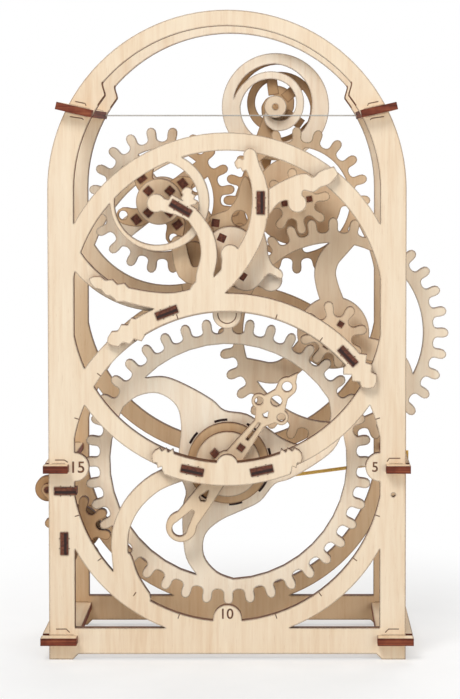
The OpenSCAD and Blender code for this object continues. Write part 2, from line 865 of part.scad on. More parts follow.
module escape_rotor() {
    cut(rotor_y)
        bore_for(escape_at)
            difference() {
                union() {
                    disc(escape_at, rotor_disc_r);
                    for (a = [0, 90, 180, 270])
                        translate(escape_at)
                            rotate(a + post_turn)
                                limb(rotor_arm, rotor_arm_w, rotor_arm_w - 1);
                }
                post_holes(slot_fit);
                rotor_pegs_at(slot_fit);
                for (a = [0, 90, 180, 270])
                    translate(escape_at)
                        rotate(a + post_turn)
                            disc(rotor_tip + [0.4, -0.6], rotor_hole_r);
            }
}
module rotor_pegs_at(fit) {
    for (a = [45, 135, 225, 315])
        translate(escape_at + peg_circle * aim(a))
            rotate(a)
                square(rotor_peg + 2 * fit, center = true);
}
module rotor_cap() {
    cut(rotor_y - ply)
        bore_for(escape_at)
            difference() {
                disc(escape_at, rotor_disc_r);
                rotor_pegs_at(slot_fit);
            }
}
module rotor_pegs() {
    color(burnt)
        translate([-mid_x, rotor_y + ply - mid_y, 0])
            rotate([90, 0, 0])
                linear_extrude(2 * ply + key_out)
                    rotor_pegs_at(0);
}
module rotor_posts() {
    color(burnt)
        translate([-mid_x, fourth_y + ply - mid_y, 0])
            rotate([90, 0, 0])
                linear_extrude(fourth_y + ply - rotor_y)
                    post_holes(0);
}

// Brake arbor
module brake_arbor() dowel(brake_at, nose_skin + running, rear_y + tail_out, shaft_r);
module brake_pinion() {
    cut(dial_y)
        bore_for(brake_at)
            translate(brake_at)
                gear_2d(pinion_n, brake_turn);
}
module brake_disc() {
    cut(dial_y + ply)
        bore_for(brake_at)
            disc(brake_at, pitch_r(pinion_n) - 2);
}

// Pendulum
anchor_r = 10.6;
anchor_hub_r = 7;
anchor_eye = pivot_at + [3.6, 13.7];
anchor_eye_r = 3.1;
// Edges of the anchor's right pallet and of the plate behind it, from the pendulum's arbor
pallet_edge = [[-2, -9], [0.2, -11.8], [3.6, -14.8], [8, -15.1], [11.7, -12.5], [14.3, -9.2], [16.2, -8.5],
    [19.8, -10.4], [21, -9.2], [20.2, -7], [16.9, -4.8], [15, -0.3], [14.7, 3.8], [13.2, 8.9]];
sail_edge = [[7, 2], [9, 12], [9.4, 20], [8, 27.5], [5.8, 30.8], [3.9, 27.8], [2.4, 22.2], [-1.2, 17.4],
    [-4.6, 16], [-8.6, 14.3], [-7.7, 11.5], [-6, 3]];
module pendulum_arbor() dowel(pivot_at, -ply + nose_skin + running, stack_end, shaft_r);
module anchor() {
    cut(hand_y)
        bore_for(pivot_at)
            union() {
                disc(pivot_at, anchor_r);
                limb(moved([[0, 0], [-10, -8.5], [-18, -7.5], [-21, 4]], pivot_at), 9, 6);
                polygon(moved(concat([[0, 0]], smooth(pallet_edge, 3)), pivot_at));
            }
    cut(cap_y)
        bore_for(pivot_at)
            difference() {
                union() {
                    disc(pivot_at, anchor_hub_r);
                    polygon(moved(smooth(sail_edge, 3), pivot_at));
                }
                disc(anchor_eye, anchor_eye_r);
            }
}
module pendulum_arm() {
    cut(arm_y)
        bore_for(pivot_at)
            difference() {
                limb([pivot_at, mix(pivot_at, spiral_at, 0.5), spiral_at], 14, 7);
                disc(spiral_at, spiral_pin_r + seat);
                disc(mix(pivot_at, spiral_at, 0.2), 2.6);
            }
}
spiral_pin_r = 1.2;
spiral_hub_r = 4.8;
// Radii of the winding slot's outer and inner edges, by the angle from the spiral's left side
slot_outer = [
    [9, spiral_r - 4.7], [45, spiral_r - 4.5], [90, spiral_r - 4.6], [135, spiral_r - 6],
    [180, spiral_r - 7.4], [360, spiral_r - 7.9], [450, spiral_r - 11.25], [540, spiral_r - 14.3],
    [650, spiral_hub_r]
];
slot_inner = [
    [9, spiral_r - 4.7], [45, spiral_r - 6.3], [90, spiral_r - 7.9], [180, spiral_r - 10.8],
    [270, spiral_r - 12.6], [300, spiral_r - 14.5], [335, spiral_hub_r], [650, spiral_hub_r]
];
slot_step = 8;
slot_from = slot_outer[0][0];
slot_to = slot_outer[len(slot_outer) - 1][0];
function slot_point(t, table, side) = lookup(t, table) * [-side * cos(t), sin(t)];
function slot_edge(table, side) = [
    for (t = [slot_from + slot_step : slot_step : slot_to]) slot_point(t, table, side)
];
function reversed(p) = [for (i = [len(p) - 1 : -1 : 0]) p[i]];
function winding_slot(side) = concat(
    [slot_point(slot_from, slot_outer, side)],
    slot_edge(slot_inner, side),
    reversed(slot_edge(slot_outer, side))
);
module spiral_outline(side) {
    slot = winding_slot(side);
    translate(spiral_at)
        difference() {
            circle(spiral_r, $fn = round);
            polygon(side > 0 ? slot : reversed(slot));
            circle(spiral_pin_r + seat, $fn = round);
        }
}
module spiral_front() {
    cut(spiral_y)
        spiral_outline(1);
}
module spiral_rear() {
    cut(spiral_back_y)
        spiral_outline(-1);
}
module spiral_hub() {
    cut(spiral_y - ply)
        difference() {
            disc(spiral_at, spiral_hub_r);
            disc(spiral_at, spiral_pin_r + seat);
        }
}
module spiral_pin() dowel(spiral_at, spiral_y - ply - key_out, stack_end, spiral_pin_r);
// Blocks that join the two spirals, in the arm's layer
block_in = 5.2;
block_long = 8.6;
block_w = 4.6;
module spiral_blocks() {
    color(burnt)
        cut(arm_y)
            for (a = [42, 98, 326])
                translate(spiral_at)
                    rotate(a)
                        translate([block_in, -block_w / 2])
                            square([block_long, block_w]);
}

// Start lever behind the left column
lever_at = [-column_in - 4.6, dial_z - 20];
lever_y = ply + play + 1;
knob_pin_r = 1.2;
module start_lever() {
    cut(lever_y)
        difference() {
            limb([knob_at, lever_at + [-1.5, 3], lever_at, lever_at + [-0.5, -4.2]], 5, 4);
            disc(lever_at, shaft_r + seat);
            disc(knob_at, knob_pin_r + seat);
        }
}
module lever_knob() {
    cut(lever_y + ply)
        ringlet(knob_at, knob_pin_r + seat, knob_r);
}
module knob_pin() dowel(knob_at, lever_y - key_out, lever_y + 2 * ply, knob_pin_r);
module lever_pin() dowel(lever_at, nose_skin + running, lever_y + ply, shaft_r);

front_plate();
back_plate();
crossbar_top_left();
crossbar_top_right();
crossbar_mid_left();
crossbar_mid_right();
crossbar_bottom_left();
crossbar_bottom_right();
tree_bridge();
right_bracket();
dial_bridge();
bridge_keys();
column_keys();
tension_thread();
rubber_band();
dial_arbor();
dial_gear();
hub_disc();
cap_disc();
hand();
hub_pegs();
winding_drum();
drum_flanges();
band_turns();
third_arbor();
third_pinion();
third_wheel();
third_spacer();
third_pegs();
fourth_arbor();
fourth_pinion();
fourth_wheel();
fourth_spacer();
fourth_pegs();
escape_arbor();
escape_wheel();
escape_rotor();
rotor_cap();
rotor_pegs();
rotor_posts();
brake_arbor();
brake_pinion();
brake_disc();
pendulum_arbor();
anchor();
pendulum_arm();
spiral_front();
spiral_rear();
spiral_hub();
spiral_pin();
spiral_blocks();
start_lever();
lever_knob();
knob_pin();
lever_pin();
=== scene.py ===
"""Looks of the plywood countdown timer: materials, marks, a few small forms, floor, light and camera."""
import math

import bmesh
import bpy
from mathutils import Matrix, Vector


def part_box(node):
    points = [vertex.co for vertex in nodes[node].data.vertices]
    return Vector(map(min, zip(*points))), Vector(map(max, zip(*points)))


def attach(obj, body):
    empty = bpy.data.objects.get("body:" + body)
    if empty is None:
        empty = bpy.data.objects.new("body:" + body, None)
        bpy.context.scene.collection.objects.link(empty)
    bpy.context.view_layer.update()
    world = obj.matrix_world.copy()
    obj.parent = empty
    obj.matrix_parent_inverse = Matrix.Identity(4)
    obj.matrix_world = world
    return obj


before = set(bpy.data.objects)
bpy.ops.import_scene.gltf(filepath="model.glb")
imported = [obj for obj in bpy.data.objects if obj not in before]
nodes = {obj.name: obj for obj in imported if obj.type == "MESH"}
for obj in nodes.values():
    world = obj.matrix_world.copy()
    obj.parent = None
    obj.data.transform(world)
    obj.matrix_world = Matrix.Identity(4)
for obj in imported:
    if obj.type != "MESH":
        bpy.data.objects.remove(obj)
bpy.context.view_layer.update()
scene = bpy.context.scene

# The plates' drawing frame: X from their middle line, Y from the front plate's face, Z from the floor
MID_X = 0.006127446
MID_Y = 0.034
PLY = 0.003
# Middle and inner radius of the minute ring
DIAL = (0.0, 0.0776)
RING_IN = 0.0622
# Width of a scorched line, and how far a mark lies in front of the face that carries it
LINE_W = 0.0004
SKIN = 0.00003


def at(x, y, z):
    """A point given in the plates' drawing frame, in the part's frame."""
    return Vector((x - MID_X, y - MID_Y, z))


def polar(centre, r, degrees):
    """A point (x, z) on a circle, with the angle counted clockwise from the top."""
    a = math.radians(degrees)
    return (centre[0] + r * math.sin(a), centre[1] + r * math.cos(a))


def ease(t):
    """A smooth step from 0 to 1."""
    return t * t * (3 - 2 * t)


def srgb(r, g, b):
    """An sRGB colour of 0 to 255 as linear RGBA."""
    def lin(c):
        c /= 255
        return c / 12.92 if c <= 0.04045 else ((c + 0.055) / 1.055) ** 2.4
    return (lin(r), lin(g), lin(b), 1)


def browned(colour, tone):
    """A paler or browner shade of a wood colour: blue falls faster than red."""
    return [c * tone ** power for c, power in zip(colour, (1, 1.6, 2.4))] + [1]


def between(a, b, t):
    """A colour part of the way from a to b."""
    return [x + (y - x) * t for x, y in zip(a, b)]


# Materials

EVEN = (1, 1, 1)
# A face counts as square to an axis above this share of its normal
SQUARE_ON = 0.7
EDGE_GAIN = 6.0
EDGE_SAMPLES = 4


class Graph:
    """A material's node tree, with short calls to add and join nodes."""

    def __init__(self, name):
        self.material = bpy.data.materials.new(name)
        self.material.use_nodes = True
        self.tree = self.material.node_tree
        self.shader = self.tree.nodes["Principled BSDF"]

    def add(self, kind, **settings):
        node = self.tree.nodes.new(kind)
        for key, value in settings.items():
            setattr(node, key, value)
        return node

    def join(self, out, into):
        self.tree.links.new(out, into)

    def put(self, value, into):
        if isinstance(value, bpy.types.NodeSocket):
            self.join(value, into)
        else:
            into.default_value = value

    def set(self, socket, value):
        """Links a node's output to one of the shader's sockets, or sets a constant on it."""
        self.put(value, self.shader.inputs[socket])

    def math(self, op, a, b=0.0, clamp=False):
        node = self.add("ShaderNodeMath", operation=op, use_clamp=clamp)
        self.put(a, node.inputs[0])
        self.put(b, node.inputs[1])
        return node.outputs[0]

    def mix(self, factor, a, b, blend="MIX"):
        node = self.add("ShaderNodeMix", data_type="RGBA", blend_type=blend)
        self.put(factor, node.inputs["Factor"])
        self.put(a, node.inputs["A"])
        self.put(b, node.inputs["B"])
        return node.outputs["Result"]

    def ramp(self, value, stops):
        node = self.add("ShaderNodeValToRGB")
        self.put(value, node.inputs[0])
        marks = node.color_ramp.elements
        while len(marks) < len(stops):
            marks.new(0.5)
        for mark, (place, colour) in zip(marks, stops):
            mark.position = place
            mark.color = colour
        return node.outputs[0]

    def coords(self, scale=EVEN, turn=0.0):
        """Object coordinates in millimetres, turned about Y and scaled."""
        place = self.add("ShaderNodeTexCoord").outputs["Object"]
        node = self.add("ShaderNodeMapping")
        node.inputs["Rotation"].default_value = (0, math.radians(turn), 0)
        node.inputs["Scale"].default_value = [1000 * s for s in scale]
        self.join(place, node.inputs["Vector"])
        return node.outputs[0]

    def noise(self, vector, scale, detail=3.0, rough=0.5, warp=0.0):
        node = self.add("ShaderNodeTexNoise")
        self.join(vector, node.inputs["Vector"])
        node.inputs["Scale"].default_value = scale
        node.inputs["Detail"].default_value = detail
        node.inputs["Roughness"].default_value = rough
        node.inputs["Distortion"].default_value = warp
        return node.outputs["Fac"]

    def bump(self, height, strength, distance):
        node = self.add("ShaderNodeBump")
        self.join(height, node.inputs["Height"])
        node.inputs["Strength"].default_value = strength
        node.inputs["Distance"].default_value = distance
        self.set("Normal", node.outputs[0])

    def square_to(self, axis):
        """1 where the surface faces along an axis of the part and 0 elsewhere."""
        normal = self.add("ShaderNodeTexCoord").outputs["Normal"]
        parts = self.add("ShaderNodeSeparateXYZ")
        self.join(normal, parts.inputs[0])
        return self.math("GREATER_THAN", self.math("ABSOLUTE", parts.outputs[axis]), SQUARE_ON)

    def fade(self, axis, start, end):
        """1 before start and 0 past end, along an axis of the part; start may be the larger."""
        parts = self.add("ShaderNodeSeparateXYZ")
        self.join(self.add("ShaderNodeTexCoord").outputs["Object"], parts.inputs[0])
        fade = self.add("ShaderNodeMapRange", interpolation_type="SMOOTHSTEP")
        self.join(parts.outputs[axis], fade.inputs["Value"])
        fade.inputs["From Min"].default_value = min(start, end)
        fade.inputs["From Max"].default_value = max(start, end)
        fade.inputs["To Min"].default_value = float(start < end)
        fade.inputs["To Max"].default_value = float(start > end)
        return fade.outputs["Result"]

    def near_edge(self, radius):
        """1 close to a sharp edge and 0 elsewhere."""
        bevel = self.add("ShaderNodeBevel", samples=EDGE_SAMPLES)
        bevel.inputs["Radius"].default_value = radius
        true = self.add("ShaderNodeNewGeometry").outputs["True Normal"]
        dot = self.add("ShaderNodeVectorMath", operation="DOT_PRODUCT")
        self.join(bevel.outputs[0], dot.inputs[0])
        self.join(true, dot.inputs[1])
        away = self.math("SUBTRACT", 1.0, dot.outputs["Value"])
        return self.math("MULTIPLY", away, EDGE_GAIN, clamp=True)


BIRCH_PALE = srgb(246, 228, 202)
BIRCH_DEEP = srgb(233, 206, 174)
FLECK = srgb(196, 154, 112)
# Cut edges from their darkest to their palest: of a sheet, and of a crossbar
BURNT_EDGE = (srgb(50, 26, 15), srgb(98, 60, 38), srgb(146, 102, 68))
BURNT_ENDS = (srgb(68, 27, 16), srgb(120, 56, 36), srgb(154, 88, 58))
# Scorch along a sheet's edges: its reach and colour, and its strength on the face and on the cut side
RIM_REACH = 0.001
RIM_BROWN = srgb(92, 52, 31)
RIM = 0.9
RIM_ON_SIDE = 0.6
# Stretch of the grain and of the layers, by the axis that a sheet's faces look along
GRAIN = {"Y": (0.5, 0.5, 0.035), "Z": (0.5, 0.035, 0.5)}
LAYERS = {"Y": (0.02, 1.0, 0.02), "Z": (0.02, 0.02, 1.0)}


def plywood(name, axis="Y", turn=0.0, tone=1.0, edge=BURNT_EDGE, seed=0.0, painted_shades=(), rim=RIM):
    """Laser-cut birch plywood: a grained face across the given axis and browned edges with ply lines.

    Each painted shade (axis, start, end, tone) browns the face where shade falls, on the side of start, and
    fades out at end.
    The rim is how dark the sheet is scorched along its edges.
    """
    g = Graph(name)
    shifted = g.add("ShaderNodeVectorMath", operation="ADD")
    g.join(g.coords(GRAIN[axis], turn), shifted.inputs[0])
    shifted.inputs[1].default_value = (seed, seed * 1.7, seed * 0.6)
    place = shifted.outputs[0]
    streak = g.noise(place, scale=1.1, detail=5.0, rough=0.62, warp=0.35)
    wide = g.noise(place, scale=0.16, detail=2.0, rough=0.5, warp=0.5)
    fleck = g.noise(place, scale=4.2, detail=2.0, rough=0.7)
    grain = g.math("ADD", g.math("MULTIPLY", streak, 0.55), g.math("MULTIPLY", wide, 0.45))
    pale = browned(BIRCH_PALE, tone)
    deep = browned(BIRCH_DEEP, tone)
    face = g.ramp(grain, [(0.36, pale), (0.5, between(pale, deep, 0.35)), (0.66, deep)])
    fleck_mask = g.math("MULTIPLY", g.math("GREATER_THAN", fleck, 0.66), 0.16)
    face = g.mix(fleck_mask, face, FLECK)
    # Painted shade: each zone browns the face where shade falls
    for direction, start, end, shade in painted_shades:
        face = g.mix(g.fade(direction, start, end), face, browned((1, 1, 1), shade), "MULTIPLY")
    # The cut side: layers across the sheet, scorched unevenly
    layers = g.noise(g.coords(LAYERS[axis]), scale=1.35, detail=1.0, rough=0.4)
    mottle = g.noise(g.coords(), scale=0.22, detail=4.0, rough=0.6)
    burn = g.math("ADD", g.math("MULTIPLY", layers, 0.6), g.math("MULTIPLY", mottle, 0.4))
    side = g.ramp(burn, [(0.34, edge[0]), (0.52, edge[1]), (0.7, edge[2])])
    if rim:
        rim_mask = g.math("MULTIPLY", g.near_edge(RIM_REACH), rim)
        face = g.mix(rim_mask, face, RIM_BROWN)
        side = g.mix(g.math("MULTIPLY", rim_mask, RIM_ON_SIDE), side, edge[0])
    g.set("Base Color", g.mix(g.square_to(axis), side, face))
    g.set("Roughness", g.math("ADD", 0.56, g.math("MULTIPLY", streak, 0.18)))
    g.set("Specular IOR Level", 0.28)
    g.bump(g.math("ADD", streak, g.math("MULTIPLY", layers, 0.6)), strength=0.16, distance=0.0002)
    return g.material


def scorched(name):
    """End of a plywood key or peg: dark scorched layers."""
    g = Graph(name)
    layers = g.noise(g.coords((0.9, 0.12, 0.9)), scale=1.1, detail=3.0, rough=0.6)
    stops = [(0.32, srgb(58, 26, 16)), (0.52, srgb(94, 46, 28)), (0.72, srgb(132, 76, 50))]
    g.set("Base Color", g.ramp(layers, stops))
    g.set("Roughness", 0.72)
    g.bump(layers, strength=0.25, distance=0.0002)
    return g.material


def dowel_wood(name):
    """Turned dowel: grain along the rod, blotches on its cut ends and a browned rim."""
    g = Graph(name)
    grain = g.noise(g.coords((1.2, 0.06, 1.2)), scale=1.0, detail=4.0, rough=0.6, warp=0.3)
    rod_stops = [(0.3, srgb(232, 204, 164)), (0.55, srgb(214, 178, 132)), (0.75, srgb(188, 148, 104))]
    rod = g.ramp(grain, rod_stops)
    blotch = g.noise(g.coords(), scale=1.6, detail=3.0, rough=0.7)
    end = g.ramp(blotch, [(0.35, srgb(206, 172, 130)), (0.6, srgb(164, 124, 84))])
    colour = g.mix(g.square_to("Y"), rod, end)
    rim_mask = g.math("MULTIPLY", g.near_edge(radius=0.0003), 0.6)
    g.set("Base Color", g.mix(rim_mask, colour, srgb(104, 66, 42)))
    g.set("Roughness", g.math("ADD", 0.5, g.math("MULTIPLY", grain, 0.2)))
    g.set("Specular IOR Level", 0.3)
    g.bump(grain, strength=0.15, distance=0.0002)
    return g.material


def rubber(name):
    """Amber rubber band with a slightly dusty skin."""
    g = Graph(name)
    dust = g.noise(g.coords(), scale=1.4, detail=4.0, rough=0.6)
    stops = [(0.3, srgb(204, 158, 62)), (0.6, srgb(222, 182, 92)), (0.8, srgb(232, 204, 132))]
    g.set("Base Color", g.ramp(dust, stops))
    g.set("Roughness", g.math("ADD", 0.42, g.math("MULTIPLY", dust, 0.2)))
    g.set("Subsurface Weight", 0.1)
    g.set("Subsurface Radius", (0.0006, 0.0004, 0.0002))
    g.bump(dust, strength=0.1, distance=0.0001)
    return g.material


def twine(name):
    """Thin twisted thread."""
    g = Graph(name)
    wave = g.add("ShaderNodeTexWave", bands_direction="DIAGONAL")
    g.join(g.coords(), wave.inputs["Vector"])
    wave.inputs["Scale"].default_value = 0.9
    wave.inputs["Distortion"].default_value = 0.6
    twist = wave.outputs["Fac"]
    g.set("Base Color", g.ramp(twist, [(0.2, srgb(176, 174, 170)), (0.7, srgb(220, 217, 210))]))
    g.set("Roughness", 0.85)
    g.bump(twist, strength=0.4, distance=0.0001)
    return g.material


def engraving_and_shadow(name, dark, light):
    """Scorched laser line, and also the painted shadow in a slot."""
    g = Graph(name)
    mottle = g.noise(g.coords(), scale=1.1, detail=3.0, rough=0.6)
    g.set("Base Color", g.ramp(mottle, [(0.3, dark), (0.7, light)]))
    g.set("Roughness", 0.8)
    g.bump(mottle, strength=0.2, distance=0.0001)
    return g.material


# Dress the CAD nodes

# Turn of the grain and tone of each sheet; the tone is partly the sheet's own, partly painted shade on sheets
# deep in the frame and painted light on sheets made paler than the lamps leave them
SHEETS = {
    "front_plate": (0, 1.0), "back_plate": (0, 1.05), "tree_bridge": (0, 1.0), "right_bracket": (24, 1.0),
    "dial_bridge": (0, 1.0), "dial_gear": (0, 1.08), "hub_disc": (62, 0.7), "cap_disc": (20, 0.96),
    "hand": (37, 0.91), "drum_flanges": (10, 0.74), "third_pinion": (35, 0.95), "third_wheel": (18, 1.06),
    "fourth_pinion": (70, 0.88), "fourth_wheel": (44, 0.88), "escape_wheel": (8, 1.1),
    "escape_rotor": (50, 0.76), "rotor_cap": (75, 0.92), "brake_pinion": (15, 0.7), "brake_disc": (30, 0.7),
    "anchor": (28, 1.03), "pendulum_arm": (16, 0.74), "spiral_front": (16, 1.1), "spiral_rear": (16, 0.68),
    "spiral_hub": (50, 1.0), "start_lever": (40, 0.7), "lever_knob": (65, 0.57), "spiral_blocks": (16, 0.62),
}
# Step of the grain from one sheet to the next
SEED_STEP = 7.3
# Painted shade: zones browned where shade falls, on the rear plate's lower half, the anchor's rear layer and
# left limb, and one side of three wheels
PAINTED_SHADES = {
    "back_plate": [("Z", 0.12, 0.2, 0.78)],
    "anchor": [("Y", -0.0283, -0.0287, 0.76), ("X", -0.019, -0.014, 0.8)],
    "escape_wheel": [("X", -0.018, -0.042, 0.67)],
    "fourth_wheel": [("X", -0.004, 0.016, 0.8)],
    "third_wheel": [("X", 0.045, 0.07, 0.9)],
}
DARK_BLOCKS = ("bridge_keys", "column_keys", "hub_pegs", "rotor_posts", "rotor_pegs", "third_pegs",
               "fourth_pegs", "knob_pin")
DOWELS = ("dial_arbor", "third_arbor", "fourth_arbor", "escape_arbor", "brake_arbor", "pendulum_arbor",
          "winding_drum", "third_spacer", "fourth_spacer", "spiral_pin", "lever_pin")
RUBBERS = ("rubber_band", "band_turns")


def dress(node, material):
    mesh = nodes[node].data
    mesh.materials.clear()
    mesh.materials.append(material)


def sheet_wood(name, node, rim=RIM):
    """The plywood of one of the sheets, with its tone and its zones of painted shade."""
    turn, tone = SHEETS[node]
    seed = SEED_STEP * list(SHEETS).index(node)
    return plywood(name, turn=turn, tone=tone, seed=seed, painted_shades=PAINTED_SHADES.get(node, ()), rim=rim)


bar_wood = plywood("ply_crossbar", "Z", tone=0.94, edge=BURNT_ENDS, seed=3.1)
key_wood = scorched("ply_key")
rod_wood = dowel_wood("dowel")
band_rubber = rubber("band_rubber")
line_ink = engraving_and_shadow("laser_line", srgb(70, 40, 26), srgb(128, 84, 54))
painted_slot_shadow = engraving_and_shadow("slot_shadow", srgb(26, 11, 8), srgb(52, 24, 16))

for node in SHEETS:
    dress(node, sheet_wood("ply_" + node, node))
for node in nodes:
    if node.startswith("crossbar"):
        dress(node, bar_wood)
for node in DARK_BLOCKS:
    dress(node, key_wood)
for node in DOWELS:
    dress(node, rod_wood)
for node in RUBBERS:
    dress(node, band_rubber)
dress("tension_thread", twine("thread_twine"))


# Making new pieces

def add_piece(name, mesh, material, body):
    """A new piece from a mesh, riding on a body."""
    mesh.materials.append(material)
    obj = bpy.data.objects.new(name, mesh)
    scene.collection.objects.link(obj)
    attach(obj, body)


def mesh_from(name, build):
    """A mesh from a bmesh that build() fills."""
    bm = bmesh.new()
    build(bm)
    mesh = bpy.data.meshes.new(name)
    bm.to_mesh(mesh)
    bm.free()
    return mesh


def add_mark(name, build, material=line_ink, body="frame"):
    add_piece(name, mesh_from(name, build), material, body)


def add_sheet(name, build, material, body="frame"):
    add_piece(name, mesh_from(name, build), material, body)


def strip(bm, points, width, y):
    """A flat ribbon along points (x, z) of the drawing frame, just in front of depth y."""
    left, right = [], []
    for i, p in enumerate(points):
        a = Vector(points[max(i - 1, 0)])
        b = Vector(points[min(i + 1, len(points) - 1)])
        along = (b - a).normalized()
        side = Vector((-along.y, along.x)) * width / 2
        left.append(bm.verts.new(at(p[0] + side.x, y - SKIN, p[1] + side.y)))
        right.append(bm.verts.new(at(p[0] - side.x, y - SKIN, p[1] - side.y)))
    for i in range(len(points) - 1):
        bm.faces.new((left[i], left[i + 1], right[i + 1], right[i]))


# Keeps a new sheet's faces just inside those of the sheet that it grows from
INSET = 0.00002


def sheet_of(bm, outline, front, back):
    """A closed plate between two depths, from its outline (x, z) in the drawing frame."""
    rings = [[bm.verts.new(at(x, y, z)) for x, z in outline] for y in (front + INSET, back - INSET)]
    bm.faces.new(rings[0])
    bm.faces.new(rings[1][::-1])
    for i in range(len(outline)):
        j = (i + 1) % len(outline)
        bm.faces.new((rings[0][j], rings[0][i], rings[1][i], rings[1][j]))
    bmesh.ops.recalc_face_normals(bm, faces=bm.faces)


# Marks on the front plate

MINUTES = 20
# Length of a minute mark, and its distance from the ring's edge on the plate and on the tree bridge
MARK_LEN = 0.0019
PLATE_GAP, BRIDGE_GAP = 0.0001, 0.0006
# The tree bridge covers the ring from the first angle, over the top, to the second
BRIDGE_FROM, BRIDGE_TO = 324, 52


def minute_marks(bm):
    for minute in range(MINUTES):
        angle = 360 * minute // MINUTES
        # Every fifth minute has a lobe in place of a mark
        if minute % 5 == 0:
            continue
        on_bridge = angle < BRIDGE_TO or angle > BRIDGE_FROM
        inner = RING_IN + (BRIDGE_GAP if on_bridge else PLATE_GAP)
        ends = [polar(DIAL, inner, angle), polar(DIAL, inner + MARK_LEN, angle)]
        strip(bm, ends, LINE_W, -PLY if on_bridge else 0.0)


# The arc on the plain lobe at the top of the ring: drop of its middle, radius, first angle, sweep and steps
LOBE_DROP = 0.0008
LOBE = (0, DIAL[1] + RING_IN - LOBE_DROP)
LOBE_R = 0.0037
LOBE_FROM, LOBE_SWEEP, LOBE_STEPS = 82, 196, 16


def lobe_line(bm):
    turns = [LOBE_FROM + LOBE_SWEEP * i / LOBE_STEPS for i in range(LOBE_STEPS + 1)]
    strip(bm, [polar(LOBE, LOBE_R, a) for a in turns], LINE_W, 0.0)


# Dark lines beside the crossbars' ears, in millimetres
EAR_LINES = (
    ((-68.9, 80.5), (-65.1, 80.5), (-63.8, 79.6)), ((69.2, 81.2), (64.8, 81.2), (63.9, 79.9)),
    ((-68.8, 12.3), (-64.7, 12.3), (-63.3, 10.9)), ((68.8, 12.3), (64.7, 12.3), (63.3, 10.9)),
    ((-60.2, 223.7), (-56.3, 222.9), (-55.9, 222.0)), ((60.2, 223.7), (56.3, 222.9), (55.9, 222.0)),
    ((-62.4, 217.7), (-57.5, 217.0), (-57.0, 216.4)), ((62.4, 217.7), (57.5, 217.0), (57.0, 216.4)),
)


def ear_lines(bm):
    for line in EAR_LINES:
        strip(bm, [(x / 1000, z / 1000) for x, z in line], LINE_W, 0.0)


add_mark("minute_marks", minute_marks)
add_mark("lobe_line", lobe_line)
add_mark("ear_lines", ear_lines)

# Minute numbers: middle and height of each, and how much the font's strokes are thickened
NUMBERS = (("15", -0.0596, 0.0776, 0.0046), ("5", 0.0591, 0.0777, 0.0040), ("10", 0.0001, 0.0185, 0.0042))
STROKE = 0.012


def add_number(text, x, z, height):
    """A minute number of the given height, cut as a flat outline just in front of its lobe."""
    name = "number_" + text
    curve = bpy.data.curves.new(name, "FONT")
    curve.body = text
    curve.offset = STROKE
    text_obj = bpy.data.objects.new("number_text", curve)
    scene.collection.objects.link(text_obj)
    bpy.context.view_layer.update()
    mesh = bpy.data.meshes.new_from_object(text_obj.evaluated_get(bpy.context.evaluated_depsgraph_get()))
    bpy.data.objects.remove(text_obj)
    xs = [v.co.x for v in mesh.vertices]
    zs = [v.co.y for v in mesh.vertices]
    size = height / (max(zs) - min(zs))
    mid_x = (max(xs) + min(xs)) / 2
    mid_z = (max(zs) + min(zs)) / 2
    for v in mesh.vertices:
        v.co = at(x + (v.co.x - mid_x) * size, -SKIN, z + (v.co.y - mid_z) * size)
    mesh.materials.clear()
    add_piece(name, mesh, line_ink, "frame")


for number in NUMBERS:
    add_number(*number)


# Marks on the keys, the dial gear and the anchor

# Middle in millimetres, turn in degrees and depth of each key's front face
KEYS = (
    (-23.9, 139.9, 21, -3.4), (48.1, 122.5, -47, -3.4), (-13.87, 76.76, -12, -3.4), (13.87, 76.76, 12, -3.4),
    (-18.24, 181.37, -30, -3.4), (13.5, 183.5, 90, -3.4), (-64.7, 68.0, 0, -0.4), (-65.3, 46.8, 90, -0.4),
)
# How far a key stands out of its sheet
KEY_PROUD = 0.4
# The dark core line of a key, a painted shadow: half its length, its place across the key, and its width in
# metres
CORE_HALF, CORE_ACROSS, CORE_W = 4.3, -0.45, 0.0011
# The four scorched dots beside a key: place along and across it, and radius in metres
DOT_ALONG, DOT_ACROSS, DOT_R = 2, 1.95, 0.00026
DOT_SIDES = 8


def turned(x, z, degrees, along, across):
    """A point beside a place in millimetres that is turned by an angle, in metres."""
    c, s = math.cos(math.radians(degrees)), math.sin(math.radians(degrees))
    return ((x + along * c - across * s) / 1000, (z + along * s + across * c) / 1000)


def key_cores(bm):
    for x, z, turn, y in KEYS:
        ends = [turned(x, z, turn, along, CORE_ACROSS) for along in (-CORE_HALF, CORE_HALF)]
        strip(bm, ends, CORE_W, y / 1000)


def key_dots(bm):
    for x, z, turn, y in KEYS:
        depth = (y + KEY_PROUD) / 1000 - SKIN
        for along in (-DOT_ALONG, DOT_ALONG):
            for across in (-DOT_ACROSS, DOT_ACROSS):
                middle = turned(x, z, turn, along, across)
                ring = [polar(middle, DOT_R, 360 * i / DOT_SIDES) for i in range(DOT_SIDES)]
                bm.faces.new([bm.verts.new(at(p[0], depth, p[1])) for p in ring])


# Slits of the dial gear round its hub, painted as dark strips of shadow: count, first angle, half sweep,
# step, radius and width
SLITS = 8
SLIT_FROM, SLIT_HALF, SLIT_STEP = -10, 9, 3
SLIT_R, SLIT_W = 0.0173, 0.001
GEAR_Y = 0.013


def hub_slits(bm):
    for k in range(SLITS):
        middle = SLIT_FROM - 360 / SLITS * k
        turns = range(-SLIT_HALF, SLIT_HALF + 1, SLIT_STEP)
        strip(bm, [polar(DIAL, SLIT_R, middle + t) for t in turns], SLIT_W, GEAR_Y)


# Ends of the anchor's pegs: place from the pendulum's arbor, turn and depth of the sheet's face
PIVOT = (1.3, 163.2)
ANCHOR_PEGS = ((-6.1, 11.9, -8, 7), (-3.5, 6.0, -24, 4), (4.7, -9.2, -34, 4))
PEG_HALF, PEG_W = 1.6, 0.0032


